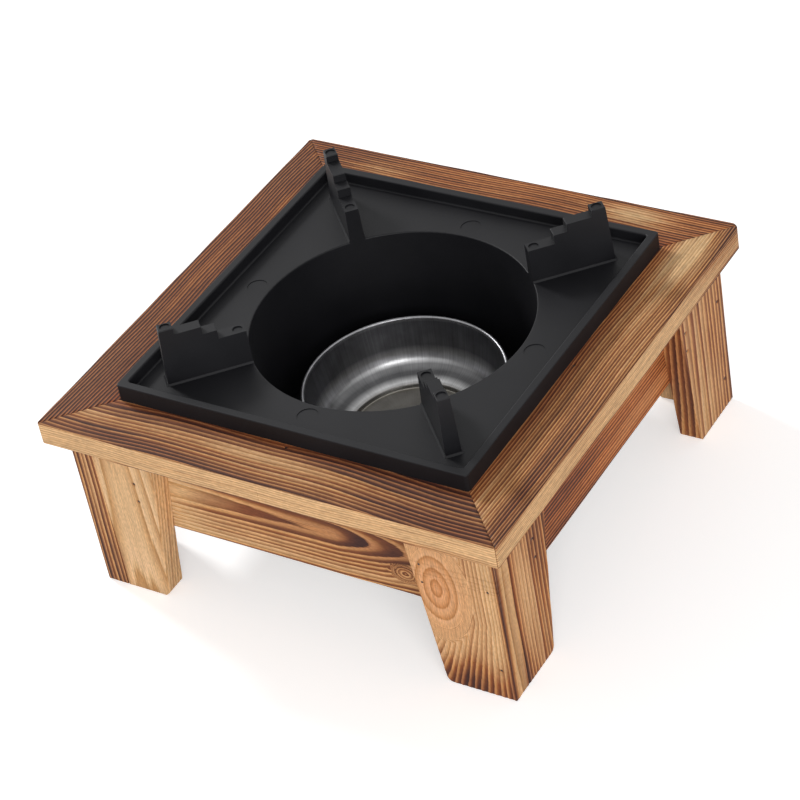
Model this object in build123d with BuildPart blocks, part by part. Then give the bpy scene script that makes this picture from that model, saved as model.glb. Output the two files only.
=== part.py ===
from build123d import *
import os

# Tabletop alcohol stove. A cast black hob with a deep round well drops into a square
# pine stand, and a pressed steel fuel bowl stands loose on the floor of the well.
# Millimetres, +Z up, origin on the floor under the middle of the stand. The front of
# the stand faces -Y and its right side faces +X.

# Well: the burner chamber, cast in one with the hob plate.
well_radius = 70.0
well_depth = 70.0
well_wall = 3.0
well_floor_thickness = 3.0
well_draft = 1.5
well_floor_fillet = 5.0
well_rim_fillet = 0.7
well_ground_clearance = 35.0

# Hob plate: a square tray that rests on the top frame, with a skirt that locates it.
plate_bearing = 12.2
plate_floor_thickness = 3.0
plate_rim_height = 9.2
plate_lip_width = 4.4
plate_corner_radius = 2.0
plate_recess_corner_radius = 1.5
plate_outer_fillet = 0.5
plate_lip_fillet = 0.9
plate_floor_fillet = 1.0
skirt_depth = 5.0
skirt_thickness = 3.0
skirt_clearance = 0.8
skirt_to_well = 7.2

# Pot supports: four stepped fins on the diagonals, low at the well and high outside.
support_base_thickness = 8.0
support_top_thickness = 6.0
support_end_draft = 1.7
support_foot_flare = 0.8
support_arris_fillet = 0.35
low_tread_height = 18.3
low_tread_length = 13.4
middle_tread_rise = 4.9
middle_tread_length = 6.9
high_tread_rise = 4.2
high_tread_length = 13.0
peak_rise = 3.6
peak_length = 8.7

# Ejector marks: shallow round dimples left in the casting by its die.
floor_mark_radius = 5.2
floor_mark_depth = 0.3
floor_mark_to_well = 8.0
fin_mark_border = 0.5
fin_mark_depth = 0.6
fin_mark_to_end = 3.6

# Top frame: four planed boards, mitred at the corners.
frame_board_width = 41.0
frame_board_thickness = 12.0
frame_corner_radius = 2.5
frame_arris_fillet = 0.8

# Legs: two tapered boards each, butted into an L, set back under the top frame.
leg_overhang = 8.8
leg_board_thickness = 12.0
leg_width_top = 47.7
leg_width_foot = 36.9
leg_foot_chamfer = 2.0
leg_arris_fillet = 0.6

# Rails: four boards on edge inside the legs, butted round in a ring.
rail_height = 55.5
rail_thickness = 12.0
rail_arris_fillet = 0.5

# Brads: headed steel pins, set a little below the face of the wood.
brad_radius = 0.8
brad_head_radius = 1.2
brad_head_height = 0.8
brad_set = 0.5
brad_clearance = 0.04
brad_tip_cover = 2.0
rail_brad_drop = 21.0
rail_brad_spacing = 11.0
wide_brad_edge_distance = 4.5
narrow_brad_edge_distance = 11.8
corner_brad_height = 17.5
corner_brad_spacing = 48.5
top_brad_spacing = 62.0
top_brad_edge_distance = 2.0

# Fuel bowl: drawn steel, with a rolled rim and a round recess pressed in its bottom.
bowl_height = 32.0
bowl_rim_radius = 50.6
bowl_wall = 0.8
bowl_bead_radius = 1.0
bowl_wall_lean = 4.4
bowl_shoulder_fillet = 9.0
bowl_ledge_width = 13.6
bowl_ledge_rise = 3.4
bowl_ledge_fillet = 1.4
bowl_recess_depth = 2.2
bowl_recess_lean = 0.6
bowl_recess_fillet = 0.5

# Places worked out from the sizes above.
frame_height = well_ground_clearance + well_floor_thickness + well_depth - plate_floor_thickness
frame_bottom = frame_height - frame_board_thickness
half_skirt = well_radius + well_wall + skirt_to_well + skirt_thickness
half_opening = half_skirt + skirt_clearance
half_plate = half_opening + plate_bearing
half_frame = half_opening + frame_board_width
plate_floor = frame_height + plate_floor_thickness
well_floor = plate_floor - well_depth
leg_face = half_frame - leg_overhang
rail_face = leg_face - leg_board_thickness
rail_inner_face = rail_face - rail_thickness
brad_length = leg_board_thickness + rail_thickness - brad_set - brad_tip_cover
low_tread_end = well_radius + low_tread_length
middle_tread_end = low_tread_end + middle_tread_length
high_tread_end = middle_tread_end + high_tread_length
support_end = high_tread_end + peak_length
low_tread = plate_floor + low_tread_height
middle_tread = low_tread + middle_tread_rise
high_tread = middle_tread + high_tread_rise
peak = high_tread + peak_rise

sides = {"front": 0, "right": 90, "back": 180, "left": 270}
corners = {"front_right": 0, "back_right": 90, "back_left": 180, "front_left": 270}
quarter_turn = 90


# Each wall plane stands on one side of the stand and is seen from outside, with its
# own X to the right, its own Y up and its normal pointing away from the stand.
def wall_plane(turn, distance):
    side = Plane.XY.rotated((0, 0, turn))
    return Plane(origin=side.y_dir * -distance, x_dir=side.x_dir, z_dir=-side.y_dir)


# A brad's plane lies on the wood with its normal pointing out of the wood.
def wall_brad(turn, along, height):
    wall = wall_plane(turn, leg_face)
    return Plane(origin=wall.from_local_coords((along, height, 0)), z_dir=wall.z_dir)


def leg_width_at(height):
    return leg_width_foot + (leg_width_top - leg_width_foot) * height / frame_bottom


# The leg's inner edge leans, and both brads beside it stand on one upright line.
def leg_rail_brad_column(turn, edge_distance, hand):
    upper = frame_bottom - rail_brad_drop
    along = hand * (leg_face - leg_width_at(upper) + edge_distance)
    return [wall_brad(turn, along, upper - row * rail_brad_spacing) for row in range(2)]


def wide_board_brads(turn):
    return leg_rail_brad_column(turn, wide_brad_edge_distance, 1)


def narrow_board_brads(turn):
    return leg_rail_brad_column(turn, narrow_brad_edge_distance, -1)


def corner_brads(turn):
    along = leg_face - leg_board_thickness / 2
    lower = corner_brad_height
    return [wall_brad(turn, along, lower + row * corner_brad_spacing) for row in range(2)]


# One brad shows in the middle of each side, and the plate covers one on each hand.
def top_brads(turn):
    side = Plane.XY.offset(frame_height).rotated((0, 0, turn))
    shown = rail_face - rail_thickness / 2
    covered = rail_inner_face + top_brad_edge_distance
    places = [(-top_brad_spacing, -covered), (0, -shown), (top_brad_spacing, -covered)]
    return [Plane(origin=side.from_local_coords((x, y, 0)), z_dir=(0, 0, 1)) for x, y in places]


# Bores the wood of the open part for these brads, with a pocket for each head.
def drill(brad_planes):
    with BuildSketch(*brad_planes) as pockets:
        Circle(brad_head_radius + brad_clearance)
    extrude(pockets.sketch, amount=-(brad_set + brad_head_height), mode=Mode.SUBTRACT)
    with BuildSketch(*brad_planes) as bores:
        Circle(brad_radius + brad_clearance)
    extrude(bores.sketch, amount=-(brad_set + brad_length), mode=Mode.SUBTRACT)


# Adds one brad to the open part at each plane, set below the face of the wood.
def drive(brad_planes):
    set_planes = [plane.offset(-brad_set) for plane in brad_planes]
    with BuildSketch(*set_planes) as heads:
        Circle(brad_head_radius)
    extrude(heads.sketch, amount=-brad_head_height)
    with BuildSketch(*set_planes) as shanks:
        Circle(brad_radius)
    extrude(shanks.sketch, amount=-brad_length)


def save(part, name):
    part.label = name
    export_step(part, f"parts/{name}.step")


os.makedirs("parts", exist_ok=True)

# The square that the four top boards make together, with its outer edges eased.
with BuildPart() as top_square:
    with BuildSketch(Plane.XY.offset(frame_bottom)):
        RectangleRounded(2 * half_frame, 2 * half_frame, frame_corner_radius)
    extrude(amount=frame_board_thickness)
    fillet(top_square.edges().group_by(Axis.Z)[-1], frame_arris_fillet)
    fillet(top_square.edges().group_by(Axis.Z)[0], frame_arris_fillet)

# Top frame boards, each cut on the mitre at its two ends.
for side_name, turn in sides.items():
    with BuildPart() as top_board:
        add(top_square.part)
        with BuildSketch(Plane.XY.offset(frame_bottom).rotated((0, 0, turn))):
            with BuildLine():
                Polyline(
                    (-half_frame, -half_frame),
                    (half_frame, -half_frame),
                    (half_opening, -half_opening),
                    (-half_opening, -half_opening),
                    close=True,
                )
            make_face()
        extrude(amount=frame_board_thickness, mode=Mode.INTERSECT)
        drill(top_brads(turn))
    save(top_board.part, f"top_board_{side_name}")

# Rails, each covering the end of the next one round.
for side_name, turn in sides.items():
    with BuildPart() as rail:
        with BuildSketch(wall_plane(turn, rail_face)):
            with Locations(((rail_face - rail_inner_face) / 2, frame_bottom - rail_height / 2)):
                Rectangle(rail_face + rail_inner_face, rail_height)
        extrude(amount=-rail_thickness)
        lower_edges = rail.faces().sort_by(Axis.Z)[0].edges()
        fillet(lower_edges.sort_by(SortBy.LENGTH)[-2:], rail_arris_fillet)
        drill(wide_board_brads(turn) + narrow_board_brads(turn) + top_brads(turn))
    save(rail.part, f"rail_{side_name}")

# Leg boards. The wide one laps the edge of the narrow one, which faces the next side.
for corner_name, turn in corners.items():
    inner_foot = leg_face - leg_width_foot
    with BuildPart() as wide_board:
        with BuildSketch(wall_plane(turn, leg_face)) as wide_face:
            with BuildLine():
                Polyline(
                    (leg_face, 0),
                    (leg_face, frame_bottom),
                    (leg_face - leg_width_top, frame_bottom),
                    (inner_foot, 0),
                    close=True,
                )
            make_face()
            chamfer(wide_face.vertices().sort_by_distance((inner_foot, 0))[0], leg_foot_chamfer)
        extrude(amount=-leg_board_thickness)
        fillet(wide_board.edges().filter_by(Axis.Z), leg_arris_fillet)
        drill(wide_board_brads(turn) + corner_brads(turn))
    save(wide_board.part, f"leg_{corner_name}_wide_board")

    with BuildPart() as narrow_board:
        with BuildSketch(wall_plane(turn + quarter_turn, leg_face)) as narrow_face:
            with BuildLine():
                Polyline(
                    (-rail_face, 0),
                    (-rail_face, frame_bottom),
                    (leg_width_top - leg_face, frame_bottom),
                    (-inner_foot, 0),
                    close=True,
                )
            make_face()
            chamfer(narrow_face.vertices().sort_by_distance((-inner_foot, 0))[0], leg_foot_chamfer)
        extrude(amount=-leg_board_thickness)
        drill(narrow_board_brads(turn + quarter_turn) + corner_brads(turn))
    save(narrow_board.part, f"leg_{corner_name}_narrow_board")

# Brads, in three groups of like pins.
with BuildPart() as leg_rail_brads:
    for turn in sides.values():
        drive(wide_board_brads(turn) + narrow_board_brads(turn))
save(leg_rail_brads.part, "leg_rail_brads")

with BuildPart() as leg_corner_brads:
    for turn in corners.values():
        drive(corner_brads(turn))
save(leg_corner_brads.part, "leg_corner_brads")

with BuildPart() as top_frame_brads:
    for turn in sides.values():
        drive(top_brads(turn))
save(top_frame_brads.part, "top_frame_brads")

# One pot support, on +X: its stepped side view, thinned upwards by the die's draft.
# It starts inside the well wall, and the well is cut out of it afterwards.
support_start = well_radius - well_wall
base_length = support_end - support_start
top_length = base_length - support_end_draft
with BuildPart() as support:
    with BuildSketch(Plane.XZ):
        with BuildLine():
            Polyline(
                (support_start, frame_height),
                (support_end, frame_height),
                (support_end, peak),
                (high_tread_end, peak),
                (high_tread_end, high_tread),
                (middle_tread_end, high_tread),
                (middle_tread_end, middle_tread),
                (low_tread_end, middle_tread),
                (low_tread_end, low_tread),
                (support_start, low_tread),
                close=True,
            )
        make_face()
    extrude(amount=support_base_thickness / 2, both=True)
    with BuildSketch(Plane.XY.offset(frame_height)):
        with Locations((support_start + base_length / 2, 0)):
            Rectangle(base_length, support_base_thickness)
    with BuildSketch(Plane.XY.offset(peak)):
        with Locations((support_start + top_length / 2, 0)):
            Rectangle(top_length, support_top_thickness)
    loft(mode=Mode.INTERSECT)
    treads = support.faces().filter_by(Axis.Z).filter_by(lambda face: face.center().Z > plate_floor)
    tread_noses = [tread.edges().filter_by(Axis.Y).sort_by(Axis.X)[0] for tread in treads]
    peak_end = treads.edges().filter_by(Axis.Y).sort_by(Axis.X)[-1]
    fillet([*treads.edges().filter_by(Axis.X), *tread_noses, peak_end], support_arris_fillet)
    fin_mark_radius = support_top_thickness / 2 - fin_mark_border
    with BuildSketch(Plane.XY.offset(low_tread)):
        with Locations((well_radius + fin_mark_to_end, 0)):
            Circle(fin_mark_radius)
    with BuildSketch(Plane.XY.offset(peak)):
        with Locations((support_end - support_end_draft - fin_mark_to_end, 0)):
            Circle(fin_mark_radius)
    extrude(amount=-fin_mark_depth, mode=Mode.SUBTRACT)
    with BuildSketch(Plane.XY.offset(plate_floor)):
        with Locations((support_start + base_length / 2, 0)):
            Rectangle(base_length + 2 * support_foot_flare, support_base_thickness + 2 * support_foot_flare)
    with BuildSketch(Plane.XY.offset(plate_floor + support_foot_flare)):
        with Locations((support_start + base_length / 2, 0)):
            Rectangle(base_length, support_base_thickness)
    loft()

# The hollow of the well, carried up past the supports so that it trims their ends.
with BuildPart() as well_hollow:
    with BuildSketch(Plane.XZ):
        with BuildLine():
            FilletPolyline(
                (0, well_floor),
                (well_radius - well_draft, well_floor),
                (well_radius, plate_floor),
                (well_radius, peak),
                (0, peak),
                radius=[0, well_floor_fillet, 0, 0, 0],
                close=True,
            )
        make_face()
    revolve(axis=Axis.Z)

# The hob casting: tray, locating skirt, well and the four supports in one piece.
well_outer_radius = well_radius + well_wall
with BuildPart() as hob:
    with BuildSketch(Plane.XY.offset(frame_height)):
        RectangleRounded(2 * half_plate, 2 * half_plate, plate_corner_radius)
    extrude(amount=plate_rim_height)
    fillet(hob.edges().group_by(Axis.Z)[-1], plate_outer_fillet)
    half_recess = half_plate - plate_lip_width
    with BuildSketch(Plane.XY.offset(plate_floor)):
        RectangleRounded(2 * half_recess, 2 * half_recess, plate_recess_corner_radius)
    extrude(amount=plate_rim_height, mode=Mode.SUBTRACT)
    fillet(hob.faces().sort_by(Axis.Z)[-1].inner_wires()[0].edges(), plate_lip_fillet)
    recess_floor = hob.faces().filter_by(Axis.Z).sort_by_distance((0, 0, plate_floor))[0]
    fillet(recess_floor.edges(), plate_floor_fillet)
    with BuildSketch(Plane.XY.offset(frame_height)):
        RectangleRounded(2 * half_skirt, 2 * half_skirt, plate_corner_radius)
        offset(amount=-skirt_thickness, mode=Mode.SUBTRACT)
    extrude(amount=-skirt_depth)
    with BuildSketch(Plane.XZ):
        with BuildLine():
            FilletPolyline(
                (0, well_floor - well_floor_thickness),
                (well_outer_radius - well_draft, well_floor - well_floor_thickness),
                (well_outer_radius, frame_height),
                (0, frame_height),
                radius=[0, well_floor_fillet, 0, 0],
                close=True,
            )
        make_face()
    revolve(axis=Axis.Z)
    add(well_hollow.part, mode=Mode.SUBTRACT)
    well_rim = hob.edges().filter_by(GeomType.CIRCLE).sort_by_distance((well_radius, 0, plate_floor))[0]
    fillet(well_rim, well_rim_fillet)
    with PolarLocations(0, 4, start_angle=45):
        add(support.part)
    add(well_hollow.part, mode=Mode.SUBTRACT)
    with BuildSketch(Plane.XY.offset(plate_floor)):
        with PolarLocations(well_radius + floor_mark_to_well, 4):
            Circle(floor_mark_radius)
    extrude(amount=-floor_mark_depth, mode=Mode.SUBTRACT)
save(hob.part, "hob")

# Fuel bowl: its inner face is drawn from the middle outwards, then given its wall.
bowl_floor = well_floor + bowl_wall
bowl_bead_centre = well_floor + bowl_height - bowl_bead_radius
bowl_shoulder_radius = bowl_rim_radius - bowl_wall_lean
bowl_recess_edge = bowl_shoulder_radius - bowl_ledge_width
with BuildPart() as fuel_bowl:
    with BuildSketch(Plane.XZ):
        with BuildLine():
            FilletPolyline(
                (0, bowl_floor),
                (bowl_recess_edge - bowl_recess_lean, bowl_floor),
                (bowl_recess_edge, bowl_floor + bowl_recess_depth),
                (bowl_shoulder_radius, bowl_floor + bowl_recess_depth + bowl_ledge_rise),
                (bowl_rim_radius, bowl_bead_centre),
                radius=[bowl_recess_fillet, bowl_ledge_fillet, bowl_shoulder_fillet],
            )
            offset(amount=bowl_wall, side=Side.RIGHT)
        make_face()
        with Locations((bowl_rim_radius, bowl_bead_centre)):
            Circle(bowl_bead_radius)
    revolve(axis=Axis.Z)
save(fuel_bowl.part, "fuel_bowl")
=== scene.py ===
import math
import bmesh
import bpy
from mathutils import Matrix, Vector, noise


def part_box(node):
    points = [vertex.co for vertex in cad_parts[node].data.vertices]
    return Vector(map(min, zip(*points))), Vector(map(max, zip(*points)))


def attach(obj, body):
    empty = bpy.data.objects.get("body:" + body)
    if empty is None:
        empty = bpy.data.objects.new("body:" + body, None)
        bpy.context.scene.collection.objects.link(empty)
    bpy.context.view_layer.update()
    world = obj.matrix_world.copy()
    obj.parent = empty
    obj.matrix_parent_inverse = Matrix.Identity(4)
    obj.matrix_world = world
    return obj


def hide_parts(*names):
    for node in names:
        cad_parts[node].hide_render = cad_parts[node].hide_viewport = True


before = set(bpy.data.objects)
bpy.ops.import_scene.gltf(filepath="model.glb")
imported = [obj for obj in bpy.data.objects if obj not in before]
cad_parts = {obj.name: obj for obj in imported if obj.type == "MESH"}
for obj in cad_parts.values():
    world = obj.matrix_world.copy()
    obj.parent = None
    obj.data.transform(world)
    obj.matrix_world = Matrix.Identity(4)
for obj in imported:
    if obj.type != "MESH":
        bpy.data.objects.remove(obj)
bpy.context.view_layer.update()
mm = 0.001

# Camera. A long lens looks down on the front right corner of the stove from about
# 1.3 m away, and is rolled a little to its left, as the photographer held it.
lens = 124.13
sensor = 36.0
camera_place = Vector((642.98, -850.20, 892.98)) * mm
camera_aim = Vector((10.50, -20.35, 75.50)) * mm
camera_roll = math.radians(-11.18)

camera_data = bpy.data.cameras.new("camera")
camera_data.lens = lens
camera_data.sensor_width = sensor
camera = bpy.data.objects.new("camera", camera_data)
look = (camera_aim - camera_place).to_track_quat("-Z", "Y").to_matrix().to_4x4()
roll = Matrix.Rotation(camera_roll, 4, "Z")
camera.matrix_world = Matrix.Translation(camera_place) @ look @ roll
bpy.context.scene.collection.objects.link(camera)
bpy.context.scene.camera = camera

# Top boards. Four pine boards, planed 12 mm thick, scorched with a flame and wire
# brushed, so that the soft wood between the year rings is burnt brown and worn low.
# They are mitred, and pinned with brads on top of the rails.


# The usual sRGB curve, from a hex value to the linear colour that the shaders take.
def linear(hex_colour):
    channels = [int(hex_colour[place:place + 2], 16) / 255 for place in (1, 3, 5)]
    return [c / 12.92 if c <= 0.04045 else ((c + 0.055) / 1.055) ** 2.4 for c in channels] + [1.0]


def add_node(tree, kind, settings=None, inputs=None, stops=None):
    made = tree.nodes.new(kind)
    for name, value in (settings or {}).items():
        setattr(made, name, value)
    for name, value in (inputs or {}).items():
        if isinstance(value, bpy.types.NodeSocket):
            tree.links.new(value, made.inputs[name])
        else:
            made.inputs[name].default_value = value
    if stops:
        ramp = made.color_ramp
        while len(ramp.elements) < len(stops):
            ramp.elements.new(0.5)
        for element, (place, colour) in zip(ramp.elements, stops):
            element.position = place
            element.color = linear(colour)
    return made


def new_material(name):
    material = bpy.data.materials.new(name)
    material.use_nodes = True
    material.node_tree.nodes.clear()
    return material, material.node_tree


# Patterns in the pine, as waves per metre along, across and through the board. Real
# fibre is some 0.03 mm wide, too fine to show, so its streaks are drawn 0.5 mm wide and
# 18 mm long. Specks are 0.8 mm wide, and the burn drifts over 20 mm by 70 mm.
fibre_waves = (55.0, 1900.0, 1900.0)
speck_waves = (420.0, 1300.0, 1300.0)
cloud_waves = (14.0, 50.0, 50.0)
fibre_push = 0.22
cloud_swing = 0.7
year_swing = 0.44
burn_offset = -0.57
flame_red = "#f0a878"
pale_stops = [(0.0, "#e6c196"), (0.3, "#dfb98a"), (0.6, "#d3a877"), (0.85, "#ba8c58"),
              (0.96, "#e0bb8c")]
honey_stops = [(0.0, "#dcab74"), (0.26, "#cc965e"), (0.4, "#a0673c"), (0.62, "#844d2d"),
               (0.88, "#764328"), (0.96, "#d29c66")]
burnt_stops = [(0.0, "#b5835a"), (0.22, "#966441"), (0.38, "#603828"), (0.6, "#422721"),
               (0.9, "#3a221e"), (0.96, "#a5724c")]


# Scorched brushed pine. The eye sees pale ridges of hard late wood beside brown burnt
# valleys, matt and a little fibrous, from straw where the flame passed to dark brown
# where it stayed. The mesh carries the year rings, the place in the board and the burn.
def scorched_pine():
    material, tree = new_material("scorched_pine")
    rings = add_node(tree, "ShaderNodeAttribute", {"attribute_name": "rings"})
    wood = add_node(tree, "ShaderNodeAttribute", {"attribute_name": "wood"})
    burn = add_node(tree, "ShaderNodeAttribute", {"attribute_name": "burn"})
    warmth = add_node(tree, "ShaderNodeAttribute", {"attribute_name": "warmth"})
    fibre_place = add_node(tree, "ShaderNodeVectorMath", {"operation": "MULTIPLY"},
                           {0: wood.outputs["Vector"], 1: fibre_waves})
    fibre = add_node(tree, "ShaderNodeTexNoise", {},
                     {"Vector": fibre_place.outputs[0], "Scale": 1.0, "Detail": 3.0})
    speck_place = add_node(tree, "ShaderNodeVectorMath", {"operation": "MULTIPLY"},
                           {0: wood.outputs["Vector"], 1: speck_waves})
    speck = add_node(tree, "ShaderNodeTexNoise", {},
                     {"Vector": speck_place.outputs[0], "Scale": 1.0, "Detail": 2.0})
    cloud_place = add_node(tree, "ShaderNodeVectorMath", {"operation": "MULTIPLY"},
                           {0: wood.outputs["Vector"], 1: cloud_waves})
    cloud = add_node(tree, "ShaderNodeTexNoise", {},
                     {"Vector": cloud_place.outputs[0], "Scale": 1.0, "Detail": 3.0})
    drift = add_node(tree, "ShaderNodeMath", {"operation": "MULTIPLY_ADD"},
                     {0: fibre.outputs[0], 1: fibre_push, 2: rings.outputs["Fac"]})
    ring = add_node(tree, "ShaderNodeMath", {"operation": "FRACT"}, {0: drift.outputs[0]})
    pale = add_node(tree, "ShaderNodeValToRGB", {}, {"Fac": ring.outputs[0]}, pale_stops)
    honey = add_node(tree, "ShaderNodeValToRGB", {}, {"Fac": ring.outputs[0]}, honey_stops)
    burnt = add_node(tree, "ShaderNodeValToRGB", {}, {"Fac": ring.outputs[0]}, burnt_stops)
    cloud_shift = add_node(tree, "ShaderNodeMath", {"operation": "MULTIPLY_ADD"},
                           {0: cloud.outputs[0], 1: cloud_swing, 2: burn_offset})
    ring_number = add_node(tree, "ShaderNodeMath", {"operation": "FLOOR"}, {0: drift.outputs[0]})
    year = add_node(tree, "ShaderNodeTexWhiteNoise", {"noise_dimensions": "1D"},
                    {"W": ring_number.outputs[0]})
    year_shift = add_node(tree, "ShaderNodeMath", {"operation": "MULTIPLY_ADD"},
                          {0: year.outputs["Value"], 1: year_swing, 2: cloud_shift.outputs[0]})
    level = add_node(tree, "ShaderNodeMath", {"operation": "ADD"},
                     {0: burn.outputs["Fac"], 1: year_shift.outputs[0]})
    to_honey = add_node(tree, "ShaderNodeMapRange", {},
                        {"Value": level.outputs[0], "From Min": 0.0, "From Max": 0.5})
    to_burnt = add_node(tree, "ShaderNodeMapRange", {},
                        {"Value": level.outputs[0], "From Min": 0.5, "From Max": 1.0})
    mixed = add_node(tree, "ShaderNodeMix", {"data_type": "RGBA"},
                     {0: to_honey.outputs[0], 6: pale.outputs[0], 7: honey.outputs[0]})
    scorched = add_node(tree, "ShaderNodeMix", {"data_type": "RGBA"},
                        {0: to_burnt.outputs[0], 6: mixed.outputs[2], 7: burnt.outputs[0]})
    reddened = add_node(tree, "ShaderNodeMix", {"data_type": "RGBA", "blend_type": "MULTIPLY"},
                        {0: warmth.outputs["Fac"], 6: scorched.outputs[2], 7: linear(flame_red)})
    fibre_tone = add_node(tree, "ShaderNodeMapRange", {},
                          {"Value": fibre.outputs[0], "From Min": 0.3, "From Max": 0.7,
                           "To Min": 0.76, "To Max": 1.16})
    speck_tone = add_node(tree, "ShaderNodeMapRange", {},
                          {"Value": speck.outputs[0], "From Min": 0.3, "From Max": 0.7,
                           "To Min": 0.82, "To Max": 1.12})
    tone = add_node(tree, "ShaderNodeMath", {"operation": "MULTIPLY"},
                    {0: fibre_tone.outputs[0], 1: speck_tone.outputs[0]})
    colour = add_node(tree, "ShaderNodeVectorMath", {"operation": "SCALE"},
                      {0: reddened.outputs[2], "Scale": tone.outputs[0]})
    bump = add_node(tree, "ShaderNodeBump", {},
                    {"Strength": 0.25, "Distance": 0.0002, "Height": fibre.outputs[0]})
    shader = add_node(tree, "ShaderNodeBsdfPrincipled", {},
                      {"Base Color": colour.outputs[0], "Roughness": 0.62,
                       "Specular IOR Level": 0.2, "Normal": bump.outputs[0]})
    add_node(tree, "ShaderNodeOutputMaterial", {}, {"Surface": shader.outputs[0]})
    return material


pine = scorched_pine()

# How a log's rings run, as waves per metre, and how a knot takes in the rings beside it.
sway_waves = 9.0
rise_waves = 16.0
rise_slice = 7.0
ripple_waves = (12.0, 170.0)
flare_height = 45 * mm
knot_reach = 1.2
knot_blend = 0.35
knot_bend = 1.5


# Where a point lies among the year rings: its distance from the pith of the log, which
# leans along the board and wanders. A knot has rings of its own and bends those beside it.
def ring_count(along, across, depth, grain):
    sway = noise.noise((along * sway_waves, grain["seed"], 0.0)) * grain["sway"]
    climb = noise.noise((along * rise_waves, grain["seed"], rise_slice)) * grain["sway"]
    rise = grain["lean"] * along + climb
    rise += grain["dive"] * max(0.0, along - grain["dive_from"])
    reach = math.hypot(across - grain["pith"][0] - sway, depth - grain["pith"][1] - rise)
    reach = (reach - grain["steady"]) / (1 + grain["flare"] * max(0.0, 1 - along / flare_height))
    ripple = noise.noise((along * ripple_waves[0], across * ripple_waves[1], grain["seed"]))
    count = reach / grain["pitch"] + grain["ripple"] * ripple
    for knot_along, knot_across, knot_size, stretch, knot_rings in grain["knots"]:
        off_along = (along - knot_along) / (stretch * knot_size)
        off = math.hypot(off_along, (across - knot_across) / knot_size)
        inside = min(1.0, max(0.0, (knot_reach - off) / knot_blend))
        inside *= inside * (3 - 2 * inside)
        count += knot_bend * math.exp(-off * off)
        count += inside * (knot_rings * off - count)
    return count


# The brushed section of a ring: a flat hard ridge, a fall to the burnt valley and a
# sharp rise to the next ridge, from 0 on the ridge to 1 at the bottom. Places are
# shares of a ring.
ridge_end = 0.2
fall_width = 0.2
rise_start = 0.88
rise_width = 0.12


def ring_hollow(count):
    part = count % 1.0
    if part < rise_start:
        return min(1.0, max(0.0, part - ridge_end) / fall_width)
    return (1.0 - part) / rise_width


def slice_mesh(bm, axis, places):
    normal = [0.0, 0.0, 0.0]
    normal[axis] = 1.0
    for place in places:
        point = [0.0, 0.0, 0.0]
        point[axis] = place
        bmesh.ops.bisect_plane(bm, geom=bm.verts[:] + bm.edges[:] + bm.faces[:],
                               plane_co=point, plane_no=normal)


def steps(low, high, pitch):
    count = max(1, round((high - low) / pitch))
    return [low + (high - low) * step / count for step in range(1, count)]


# Saws the board through at each plane and closes the cut.
def saw(bm, cuts):
    for point, normal in cuts:
        cut = bmesh.ops.bisect_plane(bm, geom=bm.verts[:] + bm.edges[:] + bm.faces[:],
                                     plane_co=point, plane_no=normal, clear_outer=True)
        open_edges = [part for part in cut["geom_cut"] if isinstance(part, bmesh.types.BMEdge)]
        bmesh.ops.edgeloop_fill(bm, edges=open_edges)


# The mitred ends meet flat, with no eased edge.
mitre_slack = 0.01 * mm


def on_mitre(edge):
    return all(abs(abs(vert.co.x) - abs(vert.co.y)) < mitre_slack for vert in edge.verts)


# What the planer, the flame, the brush and the brads leave on a board: eased edges, low
# ridges, patches of burn, charred arrises and small dents. Heat is in waves per metre.
eased_edge = 0.6 * mm
grid_across = 0.5 * mm
ridge_depth = 0.13 * mm
unburnt_relief = 0.4
edge_facing = 0.8
heat_waves = (11.0, 25.0)
arris_char_middle = 0.6
arris_char_swing = 0.8
patch_swing = 0.5
pocket_radius = 1.4 * mm
pocket_depth = 0.55 * mm
pocket_slope = 2
pocket_darkening = 0.7
pocket_slice = 0.5 * mm


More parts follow.
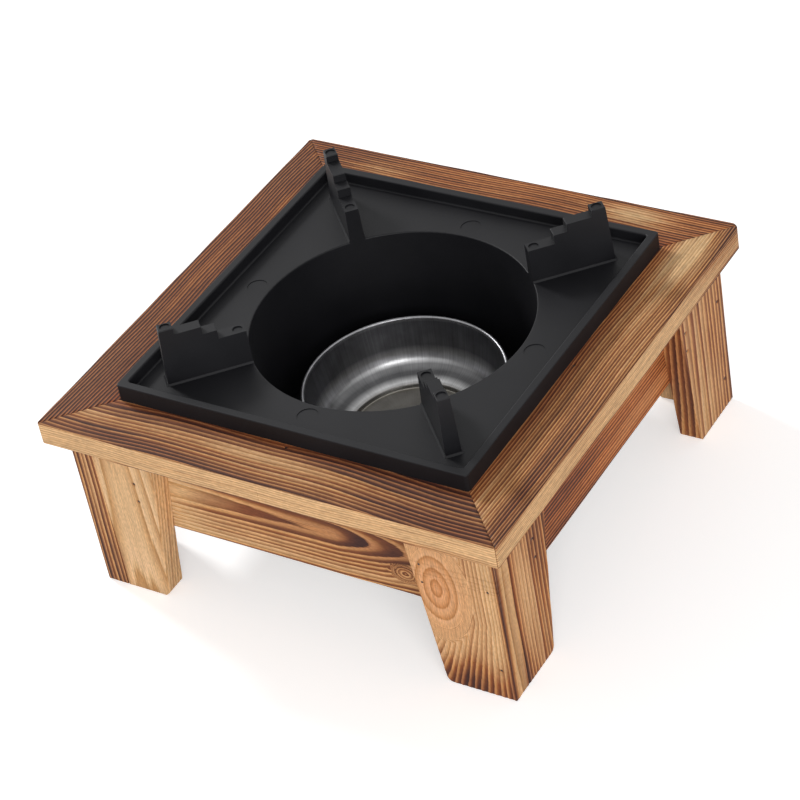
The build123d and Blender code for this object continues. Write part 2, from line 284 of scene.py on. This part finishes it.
# Saws a board in its place on the front, eases its edges, divides it finely, brushes the
# grain into it, dents it where brads are set, and turns it to its own side.
def make_board(node, turn, low, high, cuts, axes, grain, brads=(), rounding=()):
    along, across, depth = axes
    near_corner = Vector(low)
    far_corner = Vector(high)
    bm = bmesh.new()
    bmesh.ops.create_cube(bm, size=1.0)
    bmesh.ops.scale(bm, vec=far_corner - near_corner, verts=bm.verts)
    bmesh.ops.translate(bm, vec=(far_corner + near_corner) / 2, verts=bm.verts)
    saw(bm, cuts)
    eased = [edge for edge in bm.edges if not on_mitre(edge)]
    bmesh.ops.bevel(bm, geom=eased, offset=eased_edge, segments=2, profile=0.5,
                    affect="EDGES", material=-1)
    saw(bm, rounding)
    brad_places = []
    for spot in brads:
        brad_places += [spot[along] + step * pocket_slice for step in range(-3, 4)]
    slice_mesh(bm, across, steps(low[across], high[across], grid_across))
    slice_mesh(bm, along, steps(low[along], high[along], grain["grid_along"]) + brad_places)
    slice_mesh(bm, depth, steps(low[depth], high[depth], grid_across))
    bm.normal_update()
    rings = bm.verts.layers.float.new("rings")
    burn = bm.verts.layers.float.new("burn")
    warmth = bm.verts.layers.float.new("warmth")
    wood = bm.verts.layers.float_vector.new("wood")
    moves = []
    for vert in bm.verts:
        place = vert.co
        here = (place[along], place[across], place[depth])
        count = ring_count(*here, grain)
        vert[rings] = count
        vert[wood] = (here[0] + grain["seed"], here[1], here[2])
        to_edge = min(far_corner[across] - here[1], here[1] - near_corner[across])
        to_face = min(far_corner[depth] - here[2], here[2] - near_corner[depth])
        arris = math.exp(-(max(to_edge, 0) + max(to_face, 0)) / grain["arris_char_width"])
        heat = noise.noise((here[0] * heat_waves[0] + grain["seed"],
                            here[1] * heat_waves[1], here[2] * heat_waves[1]))
        on_edge = abs(vert.normal[across]) > edge_facing
        vert[burn] = grain["edge_burn"] if on_edge else grain["burn"]
        arris_burn = grain["arris_char"] * arris * (arris_char_middle + arris_char_swing * heat)
        vert[burn] += arris_burn + patch_swing * grain["patches"] * heat
        vert[warmth] = grain["warmth"]
        # A spot darkens or lightens and reddens the wood: real burn, or painted shade beside the plate.
        for spot_along, spot_across, size_along, size_across, change, glow in grain["spots"]:
            off_along = (here[0] - spot_along) / size_along
            off_across = (here[1] - spot_across) / size_across
            off = off_along ** 2 + off_across ** 2
            if not on_edge:
                vert[burn] += change * math.exp(-off)
                vert[warmth] += glow * math.exp(-off)
        brushed = min(1.0, unburnt_relief + max(vert[burn], 0.0))
        sink = ridge_depth * ring_hollow(count) * brushed
        for spot in brads:
            spread = (place - Vector(spot)).length
            if spread < pocket_radius:
                edge = 1 - spread / pocket_radius
                sink = max(sink, pocket_depth * min(1.0, pocket_slope * edge))
                # The wood in the dent round each brad is drawn darker.
                vert[burn] += pocket_darkening * edge
        moves.append(vert.normal * -sink)
    for vert, move in zip(bm.verts, moves):
        vert.co = [min(max(part, least), most) for part, least, most in zip(vert.co + move, low, high)]
    turned = Matrix.Rotation(math.radians(turn), 3, "Z")
    bmesh.ops.rotate(bm, verts=bm.verts, cent=(0, 0, 0), matrix=turned)
    mesh = bpy.data.meshes.new(f"{node}_brushed")
    for face in bm.faces:
        face.smooth = True
    bm.to_mesh(mesh)
    bm.free()
    mesh.materials.append(pine)
    board = bpy.data.objects.new(f"{node}_brushed", mesh)
    bpy.context.scene.collection.objects.link(board)
    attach(board, "stand")
    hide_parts(node)


# A board's grain. Places are in metres, in the board's place on the front of the stand,
# along the board, across it and through its thickness. A knot is given as its place
# along and across, its size, its stretch and its number of rings. A spot, where the
# flame stayed or was kept off, or where painted shade lies beside the plate, is its place
# and its size along and across, then how much it adds to the burn and to the red of the wood.
def grain(seed, **own):
    usual = {"seed": seed, "pitch": 2.4 * mm, "pith": (0.0, 0.0), "lean": 0.01, "sway": 3 * mm,
             "ripple": 0.3, "dive": 0.0, "dive_from": 0.0, "flare": 0.0, "steady": 0.0,
             "knots": (), "grid_along": 4 * mm, "burn": 0.45, "edge_burn": 0.15, "patches": 1.0,
             "warmth": 0.08, "arris_char": 0.5, "arris_char_width": 1.6 * mm, "spots": ()}
    return {**usual, **own}


# The board's own directions, as axes of the frame: along it, across it and through it.
flat_axes = (0, 1, 2)
on_edge_axes = (0, 2, 1)
upright_axes = (2, 0, 1)

sides = {"front": 0, "right": 90, "back": 180, "left": 270}
top_low, top_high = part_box("top_board_front")
half_frame = -top_low[1]
half_opening = -top_high[1]
rail_low, rail_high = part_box("rail_front")
rail_middle = (rail_low[1] + rail_high[1]) / 2
mitres = [
    ((half_frame, -half_frame, 0), (1, 1, 0)),
    ((-half_frame, -half_frame, 0), (-1, 1, 0)),
]

# The stand's outer corners are rounded, each board's left and right end by its own radius.
corner_radius = {
    "front": (1.5 * mm, 1.5 * mm),
    "right": (1.5 * mm, 4.5 * mm),
    "back": (4.5 * mm, 2.0 * mm),
    "left": (2.0 * mm, 1.5 * mm),
}
corner_angles = (9, 27, 43)


# Flat cuts that round a board's half of an outer corner, to the hand given.
def corner_cuts(radius, hand):
    cuts = []
    for angle in corner_angles:
        across = math.sin(math.radians(angle))
        out = -math.cos(math.radians(angle))
        centre = half_frame - radius
        point = (hand * (centre + radius * across), -centre + radius * out, 0)
        cuts.append((point, (hand * across, out, 0)))
    return cuts


# Beside the plate the wood is painted darker and redder in a narrow line: painted shade and a painted
# warm reflection from the plate.
plate_edge = -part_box("hob")[1][0]
painted_shade_beside_plate = (0.0, plate_edge - 2 * mm, 0.3, 3 * mm, 0.2, 0.35)
top_grains = {
    "front": grain(1.3, pith=(0.0, -0.10), pitch=1.2 * mm, burn=0.86, edge_burn=-0.08,
                   sway=1.5 * mm,
                   spots=(painted_shade_beside_plate,
                          (-0.085, -0.1195, 0.045, 0.004, 0.6, 0.2),
                          (0.10, -0.119, 0.035, 0.004, 0.6, 0.2),
                          (-0.105, -0.104, 0.016, 0.01, -0.35, 0.0),
                          (0.02, -0.111, 0.05, 0.008, -0.3, 0.0))),
    "right": grain(2.7, pith=(0.02, -0.08), pitch=0.95 * mm, burn=0.55, edge_burn=0.0,
                   arris_char=1.5, arris_char_width=1.2 * mm, sway=1.5 * mm,
                   spots=(painted_shade_beside_plate,
                          (0.098, -0.112, 0.026, 0.010, -0.75, -0.1),
                          (-0.09, -0.119, 0.04, 0.003, 0.5, 0.2))),
    "back": grain(3.1, pith=(0.02, -0.08), pitch=1.05 * mm, burn=0.72, warmth=0.4,
                  arris_char=1.3, sway=1.5 * mm,
                  spots=(painted_shade_beside_plate,
                         (-0.072, -0.115, 0.02, 0.007, -0.75, -0.4),
                         (0.075, -0.11, 0.02, 0.01, -0.4, -0.3))),
    "left": grain(4.9, pith=(0.02, -0.06), pitch=1.2 * mm, burn=0.8, warmth=0.4,
                  arris_char=1.3, sway=1.5 * mm,
                  spots=(painted_shade_beside_plate,
                         (0.08, -0.12, 0.04, 0.008, 0.5, -0.2),
                         (-0.09, -0.12, 0.03, 0.008, 0.5, -0.2),
                         (-0.068, -0.104, 0.014, 0.006, -0.6, 0.0))),
}
for side, turn in sides.items():
    low = (-half_frame, -half_frame, top_low[2])
    high = (half_frame, -half_opening, top_high[2])
    left_radius, right_radius = corner_radius[side]
    rounding = corner_cuts(left_radius, -1) + corner_cuts(right_radius, 1)
    middle_brad = (0.0, rail_middle, top_high[2])
    make_board(f"top_board_{side}", turn, low, high, mitres, flat_axes, top_grains[side],
               [middle_brad], rounding)

# Rails. Four boards of the same pine on edge, some 55 mm high, butted round in a ring
# behind the legs. They are flat sawn, so that the rings show as long arches.
rail_grains = {
    "front": grain(5.2, pith=(0.063, -0.0926), lean=0.0167, dive=0.083, dive_from=22 * mm,
                   pitch=2.0 * mm, burn=0.38, patches=0.3, sway=0.25 * mm, ripple=0.15,
                   grid_along=2 * mm, knots=((0.058, 0.050, 0.005, 1.4, 3.0),),
                   spots=((-0.09, 0.065, 0.028, 0.05, -0.8, -0.2),
                          (0.0, 0.092, 0.5, 0.012, -0.7, -0.1),
                          (-0.005, 0.063, 0.045, 0.007, 0.4, 0.1),
                          (0.045, 0.062, 0.022, 0.008, 0.35, 0.1))),
    "right": grain(6.4, pith=(0.13, -0.11), pitch=2.1 * mm, burn=0.66, warmth=0.6, sway=1.0 * mm),
    "back": grain(7.7, pith=(0.07, -0.06), lean=0.05, pitch=3.0 * mm, burn=0.5, patches=1.6),
    "left": grain(8.8, pith=(0.12, -0.12), pitch=2.3 * mm, burn=0.45),
}
for side, turn in sides.items():
    make_board(f"rail_{side}", turn, tuple(rail_low), tuple(rail_high), (), on_edge_axes,
               rail_grains[side])

# Leg boards. Each leg is two tapered boards butted into an L, a wide one that laps the
# edge of a narrow one, with a small chamfer at the foot and the grain upright.
leg_taper = 10.8 * mm
foot_chamfer = 2.0 * mm
wide_low, wide_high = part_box("leg_front_right_wide_board")
narrow_low, narrow_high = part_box("leg_front_left_narrow_board")
leg_height = wide_high[2]
wide_cuts = [
    ((wide_low[0], 0, leg_height), (-leg_height, 0, -leg_taper)),
    ((wide_low[0] + leg_taper + foot_chamfer, 0, 0), (-1, 0, -1)),
]
narrow_cuts = [
    ((narrow_high[0], 0, leg_height), (leg_height, 0, -leg_taper)),
    ((narrow_high[0] - leg_taper - foot_chamfer, 0, 0), (1, 0, -1)),
]
wide_grains = {
    "front_right": grain(11.3, pith=(0.05, -0.09), pitch=1.7 * mm, burn=0.16, edge_burn=0.25,
                         warmth=0.1, flare=0.8, steady=0.070, arris_char=1.3,
                         arris_char_width=1.2 * mm, patches=0.4, sway=0.6 * mm,
                         grid_along=1.5 * mm, knots=((0.060, 0.083, 0.0155, 1.8, 4.0),),
                         spots=((0.0, 0.09, 0.018, 0.06, 0.75, 0.2),
                                (0.060, 0.083, 0.03, 0.017, -0.95, 0.45))),
    "back_right": grain(12.6, pith=(0.05, -0.08), pitch=2.8 * mm, burn=0.28, edge_burn=0.62,
                        warmth=0.2, sway=0.8 * mm, arris_char=1.0),
    "back_left": grain(13.2, pith=(0.10, -0.07), burn=0.35, edge_burn=0.5),
    "front_left": grain(14.5, pith=(0.10, -0.07), burn=0.35, edge_burn=0.8, arris_char=1.0,
                        sway=0.5 * mm),
}
narrow_grains = {
    "front_right": grain(15.1, pith=(-0.01, -0.07), burn=0.38, edge_burn=0.4, warmth=0.2,
                         arris_char=0.9, sway=1.0 * mm,
                         spots=((0.05, -0.078, 0.05, 0.010, 0.35, 0.0),
                                (0.05, -0.112, 0.05, 0.012, -0.2, 0.2))),
    "back_right": grain(16.9, pith=(-0.08, -0.08), burn=0.4, edge_burn=0.4),
    "back_left": grain(17.4, pith=(-0.08, -0.08), burn=0.4, edge_burn=0.4),
    "front_left": grain(18.8, pith=(-0.092, -0.075), pitch=2.0 * mm, burn=0.12, edge_burn=0.0,
                        patches=0.6, sway=0.6 * mm, lean=0.02),
}
corners = {"front_right": 0, "back_right": 90, "back_left": 180, "front_left": 270}
leg_front = wide_low[1]
rail_brad_heights = (72 * mm, 61 * mm)
corner_brad_heights = (17.5 * mm, 66 * mm)
wide_brad_inset = 6.94 * mm
narrow_brad_inset = 14.24 * mm
corner_brad_inset = 6 * mm
wide_brads = [(wide_low[0] + wide_brad_inset, leg_front, height) for height in rail_brad_heights]
wide_brads += [(wide_high[0] - corner_brad_inset, leg_front, height) for height in corner_brad_heights]
narrow_brads = [(narrow_high[0] - narrow_brad_inset, leg_front, height) for height in rail_brad_heights]
for corner, turn in corners.items():
    make_board(f"leg_{corner}_wide_board", turn, tuple(wide_low), tuple(wide_high), wide_cuts,
               upright_axes, wide_grains[corner], wide_brads)
    make_board(f"leg_{corner}_narrow_board", turn + 90, tuple(narrow_low), tuple(narrow_high),
               narrow_cuts, upright_axes, narrow_grains[corner], narrow_brads)


# Brads. Thin headed steel pins, shot in and set below the wood. Their wire steel is
# darkened by the flame, so a head shows as a dark dot with a dull grey glint. The
# blotches are about 1 mm across, one or two to a head.
def darkened_wire():
    material, tree = new_material("brad_steel")
    place = add_node(tree, "ShaderNodeTexCoord")
    blotch = add_node(tree, "ShaderNodeTexNoise", {},
                      {"Vector": place.outputs["Object"], "Scale": 900.0})
    colour = add_node(tree, "ShaderNodeValToRGB", {}, {"Fac": blotch.outputs[0]},
                      [(0.35, "#2a211d"), (0.7, "#6e645c")])
    shader = add_node(tree, "ShaderNodeBsdfPrincipled", {},
                      {"Base Color": colour.outputs[0], "Metallic": 0.85, "Roughness": 0.5})
    add_node(tree, "ShaderNodeOutputMaterial", {}, {"Surface": shader.outputs[0]})
    return material


brad_steel = darkened_wire()
for brad_node in ("leg_rail_brads", "leg_corner_brads", "top_frame_brads"):
    brad_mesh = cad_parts[brad_node].data
    brad_mesh.materials.clear()
    brad_mesh.materials.append(brad_steel)


# Hob. One casting, taken to be aluminium: a square tray with a low lip, a round well and
# four stepped pot supports, coated satin black. It rests loose on the stand.
# The coat looks dull and nearly black, with a soft sheen. Real pebbling is too fine to
# show, so it is drawn 0.7 mm wide, and the sheen drifts over some 30 mm.
def black_coat():
    material, tree = new_material("satin_black_coat")
    place = add_node(tree, "ShaderNodeTexCoord")
    grit = add_node(tree, "ShaderNodeTexNoise", {},
                    {"Vector": place.outputs["Object"], "Scale": 1400.0, "Detail": 2.0})
    cloud = add_node(tree, "ShaderNodeTexNoise", {},
                     {"Vector": place.outputs["Object"], "Scale": 30.0, "Detail": 3.0})
    colour = add_node(tree, "ShaderNodeValToRGB", {}, {"Fac": cloud.outputs[0]},
                      [(0.3, "#121215"), (0.7, "#18181b")])
    rough = add_node(tree, "ShaderNodeMapRange", {},
                     {"Value": cloud.outputs[0], "To Min": 0.42, "To Max": 0.56})
    bump = add_node(tree, "ShaderNodeBump", {},
                    {"Strength": 0.12, "Distance": 0.0001, "Height": grit.outputs[0]})
    shader = add_node(tree, "ShaderNodeBsdfPrincipled", {},
                      {"Base Color": colour.outputs[0], "Roughness": rough.outputs[0],
                       "Specular IOR Level": 0.22, "Normal": bump.outputs[0]})
    add_node(tree, "ShaderNodeOutputMaterial", {}, {"Surface": shader.outputs[0]})
    return material


joined_within = 0.001 * mm
round_below = math.radians(32)


# A copy of a piece's own shape, with its facets joined and shaded round.
def smooth_copy(node, body, material):
    bm = bmesh.new()
    bm.from_mesh(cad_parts[node].data)
    bmesh.ops.remove_doubles(bm, verts=bm.verts, dist=joined_within)
    for edge in bm.edges:
        edge.smooth = edge.calc_face_angle(0.0) < round_below
    for face in bm.faces:
        face.smooth = True
    mesh = bpy.data.meshes.new(f"{node}_finished")
    bm.to_mesh(mesh)
    bm.free()
    mesh.materials.clear()
    mesh.materials.append(material)
    piece = bpy.data.objects.new(f"{node}_finished", mesh)
    bpy.context.scene.collection.objects.link(piece)
    weighted = piece.modifiers.new("even_shading", "WEIGHTED_NORMAL")
    weighted.keep_sharp = True
    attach(piece, body)
    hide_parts(node)


smooth_copy("hob", "hob", black_coat())

# Fuel bowl. Drawn from thin stainless sheet, with a rolled rim, a broad bend and a round
# recess in its bottom. It stands loose in the well.
bowl_low, bowl_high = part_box("fuel_bowl")

# Brush marks, as waves per radian round the bowl and per metre of its height. Real ones
# are some 0.1 mm wide, too fine to show, so they are drawn 1 mm wide and 40 mm long.
brush_waves = (60.0, 1.0, 25.0)

# From the bottom of the bowl to its rim: the warm stained recess, a painted highlight on
# its shoulder, painted shade on the floor, a painted highlight on the broad bend, painted
# shade on the wall and a painted highlight on the rim.
bowl_stain_and_painted_light_stops = [(0.0, "#a19d94"), (0.09, "#7d7b78"), (0.11, "#d4d4d4"), (0.14, "#6b6b6c"),
              (0.21, "#737374"), (0.27, "#cfcfd0"), (0.37, "#c4c4c6"), (0.5, "#76767a"),
              (0.9, "#68686c"), (0.96, "#9a9a9d")]


# Brushed steel, stained in blotches of about 8 mm. It looks grey and streaked, with painted
# highlights where it bends up to the light and painted shade on the wall.
def bowl_steel():
    material, tree = new_material("brushed_bowl_steel")
    place = add_node(tree, "ShaderNodeTexCoord")
    parts = add_node(tree, "ShaderNodeSeparateXYZ", {}, {0: place.outputs["Object"]})
    angle = add_node(tree, "ShaderNodeMath", {"operation": "ARCTAN2"},
                     {0: parts.outputs[1], 1: parts.outputs[0]})
    turned = add_node(tree, "ShaderNodeCombineXYZ", {},
                      {0: angle.outputs[0], 1: 0.0, 2: parts.outputs[2]})
    brush_place = add_node(tree, "ShaderNodeVectorMath", {"operation": "MULTIPLY"},
                           {0: turned.outputs[0], 1: brush_waves})
    brush = add_node(tree, "ShaderNodeTexNoise", {},
                     {"Vector": brush_place.outputs[0], "Scale": 1.0, "Detail": 4.0})
    stain = add_node(tree, "ShaderNodeTexNoise", {},
                     {"Vector": place.outputs["Object"], "Scale": 120.0, "Detail": 4.0})
    height = add_node(tree, "ShaderNodeMapRange", {},
                      {"Value": parts.outputs[2], "From Min": bowl_low[2], "From Max": bowl_high[2]})
    # Colour by height: the stain in the recess, with painted highlights and painted shade in bands.
    stain_and_painted_light = add_node(tree, "ShaderNodeValToRGB", {}, {"Fac": height.outputs[0]}, bowl_stain_and_painted_light_stops)
    worn = add_node(tree, "ShaderNodeMapRange", {},
                    {"Value": stain.outputs[0], "From Min": 0.3, "From Max": 0.7,
                     "To Min": 0.8, "To Max": 1.1})
    marks = add_node(tree, "ShaderNodeMapRange", {},
                     {"Value": brush.outputs[0], "From Min": 0.3, "From Max": 0.7,
                      "To Min": 0.8, "To Max": 1.15})
    tone = add_node(tree, "ShaderNodeMath", {"operation": "MULTIPLY"},
                    {0: worn.outputs[0], 1: marks.outputs[0]})
    colour = add_node(tree, "ShaderNodeVectorMath", {"operation": "SCALE"},
                      {0: stain_and_painted_light.outputs[0], "Scale": tone.outputs[0]})
    rough = add_node(tree, "ShaderNodeMapRange", {},
                     {"Value": brush.outputs[0], "To Min": 0.24, "To Max": 0.46})
    bump = add_node(tree, "ShaderNodeBump", {},
                    {"Strength": 0.2, "Distance": 0.0001, "Height": brush.outputs[0]})
    shader = add_node(tree, "ShaderNodeBsdfPrincipled", {},
                      {"Base Color": colour.outputs[0], "Metallic": 1.0,
                       "Roughness": rough.outputs[0], "Normal": bump.outputs[0]})
    add_node(tree, "ShaderNodeOutputMaterial", {}, {"Surface": shader.outputs[0]})
    return material


smooth_copy("fuel_bowl", "fuel_bowl", bowl_steel())

# Floor and light. A plain white matt floor in a white room, with a small lamp on the
# left, a little behind the stove, and a broad soft one at the front right. The floor and
# the room are white to the camera and in reflections, and light the stove less.
floor_size = 12.0
floor_glow = 0.45
room_on_stove = 0.42


def floor_white():
    material, tree = new_material("white_floor")
    path = add_node(tree, "ShaderNodeLightPath")
    direct = add_node(tree, "ShaderNodeMath", {"operation": "MAXIMUM"},
                      {0: path.outputs["Is Camera Ray"], 1: path.outputs["Is Glossy Ray"]})
    seen = add_node(tree, "ShaderNodeMath", {"operation": "MAXIMUM"},
                    {0: direct.outputs[0], 1: path.outputs["Is Transmission Ray"]})
    glow = add_node(tree, "ShaderNodeMath", {"operation": "MULTIPLY"},
                    {0: seen.outputs[0], 1: floor_glow})
    shader = add_node(tree, "ShaderNodeBsdfPrincipled", {},
                      {"Base Color": linear("#f4f4f4"), "Roughness": 0.9, "Specular IOR Level": 0.0,
                       "Emission Color": linear("#ffffff"), "Emission Strength": glow.outputs[0]})
    add_node(tree, "ShaderNodeOutputMaterial", {}, {"Surface": shader.outputs[0]})
    return material


floor_mesh = bpy.data.meshes.new("floor")
floor_bm = bmesh.new()
bmesh.ops.create_grid(floor_bm, x_segments=1, y_segments=1, size=floor_size / 2)
floor_bm.to_mesh(floor_mesh)
floor_bm.free()
floor_mesh.materials.append(floor_white())
floor = bpy.data.objects.new("floor", floor_mesh)
bpy.context.scene.collection.objects.link(floor)

lamp_aim = Vector((0.0, 0.0, 0.1))


def add_lamp(name, place, size, power):
    lamp_data = bpy.data.lights.new(name, "AREA")
    lamp_data.shape = "DISK"
    lamp_data.size = size
    lamp_data.energy = power
    lamp = bpy.data.objects.new(name, lamp_data)
    aim = (lamp_aim - Vector(place)).to_track_quat("-Z", "Y").to_matrix().to_4x4()
    lamp.matrix_world = Matrix.Translation(place) @ aim
    bpy.context.scene.collection.objects.link(lamp)


add_lamp("key", place=(-1.8, 0.5, 1.4), size=0.45, power=27.0)
add_lamp("fill", place=(1.4, -1.6, 0.9), size=1.5, power=31.0)

world = bpy.data.worlds.new("room")
bpy.context.scene.world = world
world.use_nodes = True
room_tree = world.node_tree
room_tree.nodes.clear()
room_path = add_node(room_tree, "ShaderNodeLightPath")
room_direct = add_node(room_tree, "ShaderNodeMath", {"operation": "MAXIMUM"},
                       {0: room_path.outputs["Is Camera Ray"], 1: room_path.outputs["Is Glossy Ray"]})
room_seen = add_node(room_tree, "ShaderNodeMath", {"operation": "MAXIMUM"},
                     {0: room_direct.outputs[0], 1: room_path.outputs["Is Transmission Ray"]})
room_level = add_node(room_tree, "ShaderNodeMapRange", {},
                      {"Value": room_seen.outputs[0], "To Min": room_on_stove, "To Max": 1.0})
room = add_node(room_tree, "ShaderNodeBackground", {},
                {"Color": (1.0, 1.0, 1.0, 1.0), "Strength": room_level.outputs[0]})
add_node(room_tree, "ShaderNodeOutputWorld", {}, {"Surface": room.outputs[0]})
bpy.context.scene.view_settings.view_transform = "Standard"
